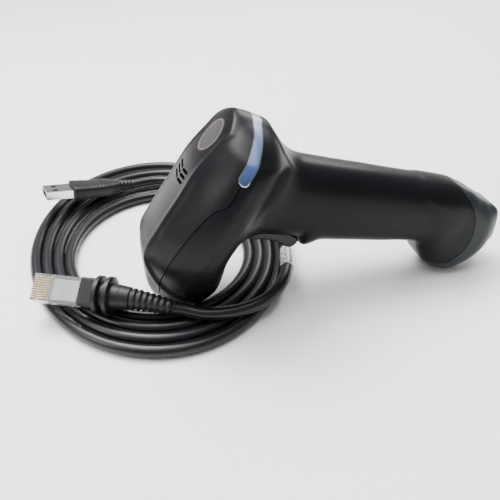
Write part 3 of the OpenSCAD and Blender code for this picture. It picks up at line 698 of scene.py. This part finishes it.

# status light band with its rim, whose bright ends are painted highlights
pipe = copy(shell, "light_band_lens")
boolean(pipe, band_bar, "INTERSECT")
finish_piece(pipe, "scanner", "light_band", replaces=["light_pipe"])
rim = copy(shell, "light_band_rim")
boolean(rim, band_rim_bar, "INTERSECT")
boolean(rim, band_gap, "DIFFERENCE")
finish_piece(rim, "scanner", "band_rim")

# badge: plain disc with one thin ring
badge = copy(lid, "badge_disc")
badge_edge = head_disc("badge_edge", BADGE_R)
boolean(badge, badge_edge, "INTERSECT")
ring_groove = head_disc("ring_groove", RING_OUT)
ring_core = head_disc("ring_core", RING_IN)
ring = copy(badge, "badge_ring")
boolean(ring, ring_groove, "INTERSECT")
boolean(ring, ring_core, "DIFFERENCE")
core = copy(badge, "badge_core")
boolean(core, ring_core, "INTERSECT")
boolean(badge, ring_groove, "DIFFERENCE")
finish_piece(badge, "scanner", "badge_face", replaces=["badge"])
finish_piece(ring, "scanner", "badge_ring")
finish_piece(core, "scanner", "badge_face")
drop(outer, inner, skin, shell, lid, cut, floor_cut, cover_in, cover_out, band_cut, band_bar, band_gap,
     band_rim_bar, cap_out, cap_in, slot_box, sock, screw_hole, recess, well)
drop(badge_edge, ring_groove, ring_core)

# ---------------------------------------------------------------- trigger
TRIGGER = corner_cut([(-3.7, -14.4), (-3.8, -20.2), (-2.4, -21.1), (1, -20.6), (5, -20.5), (9, -21.4),
                      (12.4, -23.0), (14.8, -23.7), (16.9, -23.2), (18.4, -21.4), (19.0, -19.2),
                      (17.8, -18.0), (15, -17.0), (11, -14.6), (2, -12.2), (-1, -10.6), (-3.2, -11.2)], 1)
TRIGGER_W, TRIGGER_R = 6.8, 1.1
PIVOT = grip_pt(-1.2, 0, -13.6)


def trigger_f(x, y, z):
    hollow = 0.35 * np.exp(-((x - 6) / 5) ** 2) * (1 - (y / TRIGGER_W) ** 2) * (z < -17)
    side = polygon_sdf(TRIGGER, x, z) + TRIGGER_R + hollow
    return rounded(side, np.abs(y) - (TRIGGER_W - TRIGGER_R)) - TRIGGER_R


V, F = nets(trigger_f, (-6.3, -8.3, -26.3), (21.3, 8.3, -8.3), 0.5)
V = np.array([grip_pt(*p) for p in V])
trig = new_object("trigger_lever", V, F)
gx = (GA[0], 0, GA[1])
gz = (GB[0], 0, GB[1])
pin_hole = disc_prism("pin_hole", PIVOT, gx, gz, (0, 1, 0), 1.3, -12, 12, 32)
spring_hole = disc_prism("spring_hole", PIVOT, gx, gz, (0, 1, 0), 4.4, -3, 3, 48)
boolean(trig, pin_hole, "DIFFERENCE")
boolean(trig, spring_hole, "DIFFERENCE")
post = prism("post", [(7.8, -16), (9.8, -16), (9.8, -6.6), (7.8, -6.6)], 1.5, grip_pt)
boolean(trig, post, "UNION")
drop(pin_hole, spring_hole, post)
finish_piece(trig, "trigger", "trigger_plastic", replaces=["trigger"])


# ---------------------------------------------------------------- cable
def spline(P, m):
    """Catmull-Rom through P, m steps a span."""
    P = np.array(P, float)
    out = []
    for i in range(len(P) - 1):
        p0, p1, p2, p3 = P[max(i - 1, 0)], P[i], P[i + 1], P[min(i + 2, len(P) - 1)]
        for j in range(m):
            u = j / m
            out.append(0.5 * (2 * p1 + (p2 - p0) * u + (2 * p0 - 5 * p1 + 4 * p2 - p3) * u * u
                              + (3 * p1 - p0 - 3 * p2 + p3) * u**3))
    out.append(P[-1])
    return np.array(out)


COIL_MID, COIL_HALF = (-3, 48.5), (63, 88)
COIL_IN = (17, 33)


def lane(turn):
    """Point of the coil after this many turns; it gets COIL_IN narrower over three turns."""
    lam = max((turn - 0.5) / 3, 0)
    a = 2 * math.pi * turn
    wave = 0.3 * math.sin(3.1 * turn + 1.0)
    return (COIL_MID[0] + (COIL_HALF[0] - COIL_IN[0] * lam) * math.cos(a),
            COIL_MID[1] - 11.5 * lam + (COIL_HALF[1] - COIL_IN[1] * lam) * math.sin(a) + wave, CORD_D / 2)


LEAD = [(-3.6, -20.8, 11), (2, -22.2, 9.8), (9, -25, 8.9), (20, -26.5, 8.8), (32, -24, 8.8), (42, -17, 8.9),
        (50, -6, 9.1), (54.5, 8, 9.1), (57.2, 22, 8.9), (58.8, 36, 8.8), (59.4, 50, 8.6), (59, 62, 7.2)]
TAIL = [(28.6, 72.5, 4.0), (25.5, 82, 6.8), (20, 91.5, 8.6), (12, 99.5, 8.8), (2, 103.6, 8.8),
        (-6, 103.2, 8.9), (-14.2, 101.1, 9.0)]
turns = [lane(t) for t in np.arange(0.06, 4.10, 0.04)]
turns[0] = (*turns[0][:2], 3.6)
path = spline(LEAD + turns + TAIL, 3)
cu = bpy.data.curves.new("cable", "CURVE")
cu.dimensions = "3D"
cu.bevel_depth = CORD_D / 2 * SCALE
cu.bevel_resolution = 6
cu.use_fill_caps = True
sp = cu.splines.new("POLY")
sp.points.add(len(path) - 1)
for p, q in zip(sp.points, row(path)):
    p.co = (*q, 1)
sp.use_smooth = True
cable = bpy.data.objects.new("cable", cu)
bpy.context.scene.collection.objects.link(cable)
cable.data.materials.append(M["cable_jacket"])
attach(cable, "cable_set")
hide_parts("cable_coil", "cable_lead", "cable_usb_tail")


def sweep(name, line, radii, n=32):
    """Closed round tube along a line, with one radius per point."""
    line = np.array(line, float)
    P = []
    for i, (p, r) in enumerate(zip(line, radii)):
        t = line[min(i + 1, len(line) - 1)] - line[max(i - 1, 0)]
        t /= np.linalg.norm(t)
        a = np.cross(t, (0, 0, 1))
        a /= np.linalg.norm(a)
        b = np.cross(a, t)
        P += [p + a * c + b * d for c, d in (oval(k, n, r, r) for k in range(n))]
    return ring_solid(name, P, n)


# label sleeve on the lead
LABEL_R, LABEL_END_R = 3.35, 3.05
near = [p for p in path if p[2] > 8.3 and -2.5 < p[1] < 13.5 and p[0] > 45]
label = sweep("label_sleeve", near, [LABEL_END_R] + [LABEL_R] * (len(near) - 2) + [LABEL_END_R])
finish_piece(label, "cable_set", "label_paper", replaces=["cable_label"])

# modular plug: ribbed boot, flanges, wire block behind the clear body
PLUG_O, PLUG_YAW, PLUG_ROLL = (-32.5, -9.8, 14.5), math.radians(157), math.radians(-40)


def plug_pt(x, y, z):
    return turned((x, y, z), PLUG_O, roll=PLUG_ROLL, yaw=PLUG_YAW)


RELIEF_THIN, RELIEF_THICK, RELIEF_RIB, RELIEF_PITCH = 3.25, 5.3, 0.6, 2.5
relief = spline([(-3.2, -20.9, 10.9), (-8, -19.4, 12.1), (-14, -17, 13.2), (-20, -14.9, 14.1),
                 (-25.1, -12.9, 14.5)], 16)
along = np.concatenate([[0], np.cumsum(np.linalg.norm(np.diff(relief, axis=0), axis=1))])
radii = RELIEF_THIN + (RELIEF_THICK - RELIEF_THIN) * along / along[-1]
groove = 1 - np.minimum(1, 1.3 * (0.5 + 0.5 * np.cos(2 * math.pi * along / RELIEF_PITCH)))
radii -= RELIEF_RIB * groove * ((along > 1.0) & (along < along[-1] - 4.5))
radii[0] = 2.95
stem = sweep("plug_relief", relief, radii, 36)
finish_piece(stem, "cable_set", "boot_plastic", angle=50)
FLANGES = [(-8.8, 4.6), (-8.2, 5.3), (-4.9, 5.7), (-4.8, 7.7), (-4.4, 8.4), (-2.8, 8.4), (-2.45, 7.7),
           (-2.4, 5.9), (-0.3, 5.9), (-0.2, 7.7), (0.2, 8.4), (1.8, 8.4), (2.2, 7.6), (2.3, 5.8), (3.0, 5.6)]
N = 56
collar = ring_solid("plug_flanges", [plug_pt(x, *oval(k, N, r, r)) for x, r in FLANGES for k in range(N)], N)
finish_piece(collar, "cable_set", "boot_plastic", angle=28, replaces=["plug_boot"])


HOOD_MID, HOOD_CORE, HOOD_R = (5, 0, 0), (3.1, 5.4, 4.0), 0.9


def hood_f(x, y, z):
    return rounded(*[np.abs(q - c) - h for q, c, h in zip((x, y, z), HOOD_MID, HOOD_CORE)]) - HOOD_R


V, F = nets(hood_f, (-1.3, -8.3, -7.3), (11.3, 8.3, 7.3), 0.5)
hood = new_object("plug_hood", [plug_pt(*p) for p in V], F)
fix_normals(hood)
finish_piece(hood, "cable_set", "boot_plastic", angle=40)
# the wires inside the clear body, flattened towards the contacts: place, half width, half height
WIRES = [(10, 4.4, 2.2), (16, 4.4, 2.0), (22, 4.7, 0.9)]
corners = ((-1, -1), (1, -1), (1, 1), (-1, 1))
wires = ring_solid("plug_wires", [plug_pt(x, a * w, b * h) for x, w, h in WIRES for a, b in corners], 4)
finish_piece(wires, "cable_set", "wire_core")

# square cable plug: soft overmould with finger ribs and a ribbed relief
USB_O, USB_ROT = (-48.2, 92.2, 13.9), (math.radians(5), math.radians(-8), math.radians(194.7))


def usb_pt(x, y, z):
    return turned((x, y, z), USB_O, *USB_ROT)


def wave(x, pitch):
    """0 to 1 and back over each pitch, starting at 1."""
    return 0.5 + 0.5 * math.cos(2 * math.pi * x / pitch)


def overmould_section(x):
    """Half width, half height and squareness of the overmould, x measured back from the shell."""
    if x < -27:
        r = 2.85 + 0.6 * (x + 36) / 9 + 0.35 * wave(x + 36, 2.2)
        return r, r, 2.0
    if x < -20:
        u = (x + 27) / 7
        u = u * u * (3 - 2 * u)
        return 4.4 + 2.6 * u, 3.5 + 0.4 * u, 2.6 + 1.4 * u
    if x < -3.7:
        u = (x + 20) / 16
        rib = 0.3 * wave(x + 17.9, 1.8) if -17 < x < -8 else 0
        return 7.0 + 0.9 * u, 3.9 + 0.15 * u - rib, 4.5
    u = max(min((x + 3.7) / 3.7, 1) - 0.85, 0) / 0.15
    return 8.0 - 0.9 * u, 4.2 - 0.6 * u, 4.5


stations = np.concatenate([np.linspace(-36, -27.2, 34), np.linspace(-26.8, -20, 12),
                           np.linspace(-19.2, -4, 24), np.linspace(-3.4, 0, 10)])
N = 48
P = []
for x in stations:
    a, b, power = overmould_section(x)
    P += [usb_pt(x, *oval(k, N, a, b, power)) for k in range(N)]
overmould = ring_solid("usb_overmould", P, N)
finish_piece(overmould, "cable_set", "boot_plastic", angle=35, replaces=["usb_overmold"])

# ---------------------------------------------------------------- CAD pieces that stay: materials by slot
slots = {d["node"]: d["material_slot"] for d in frame["record"]["subparts"]}
for name, o in frame["nodes"].items():
    if o.hide_render:
        continue
    mat = M.get(slots[name], M["housing_plastic"])
    o.data.materials.clear()
    o.data.materials.append(mat)

# ---------------------------------------------------------------- floor and light
def paper():
    """Pale matt paper with a faint change of tone."""
    m, nt, b = node_tree("floor_paper")
    b.inputs["Roughness"].default_value = 0.7
    b.inputs["Specular IOR Level"].default_value = 0.25
    co = nt.nodes.new("ShaderNodeTexCoord")
    no = nt.nodes.new("ShaderNodeTexNoise")
    no.inputs["Scale"].default_value = 3.0
    ramp = nt.nodes.new("ShaderNodeValToRGB")
    ramp.color_ramp.elements[0].color = (0.93, 0.932, 0.935, 1)
    ramp.color_ramp.elements[1].color = (0.95, 0.952, 0.955, 1)
    nt.links.new(co.outputs["Object"], no.inputs["Vector"])
    nt.links.new(no.outputs["Fac"], ramp.inputs["Fac"])
    nt.links.new(ramp.outputs["Color"], b.inputs["Base Color"])
    return m


FLOOR_SIZE, FLOOR_Z = 8, -0.0002
bpy.ops.mesh.primitive_plane_add(size=FLOOR_SIZE, location=(0, 0, FLOOR_Z))
floor = bpy.context.object
floor.name = "floor"
floor.data.materials.append(paper())

world = bpy.data.worlds.new("studio")
bpy.context.scene.world = world
world.use_nodes = True
world.node_tree.nodes["Background"].inputs["Color"].default_value = (1, 1, 1, 1)
world.node_tree.nodes["Background"].inputs["Strength"].default_value = 0.42


def area(name, loc, target, size, power):
    d = bpy.data.lights.new(name, "AREA")
    d.energy, d.size = power, size
    o = bpy.data.objects.new(name, d)
    bpy.context.scene.collection.objects.link(o)
    o.location = loc
    o.rotation_euler = (Vector(target) - Vector(loc)).to_track_quat("-Z", "Y").to_euler()


area("key", (-0.22, 0.30, 0.75), (0, 0.02, 0.03), 0.42, 9.0)
area("side", (-0.75, -0.15, 0.42), (-0.03, 0, 0.04), 0.3, 2.2)
area("back", (0.45, 0.75, 0.5), (0.03, 0.0, 0.04), 0.35, 3.0)
sun = bpy.data.lights.new("sky", "SUN")
sun.energy, sun.angle = 5.2, math.radians(70)
sun_o = bpy.data.objects.new("sky", sun)
bpy.context.scene.collection.objects.link(sun_o)
sun_o.rotation_euler = (math.radians(-14), math.radians(-10), 0)
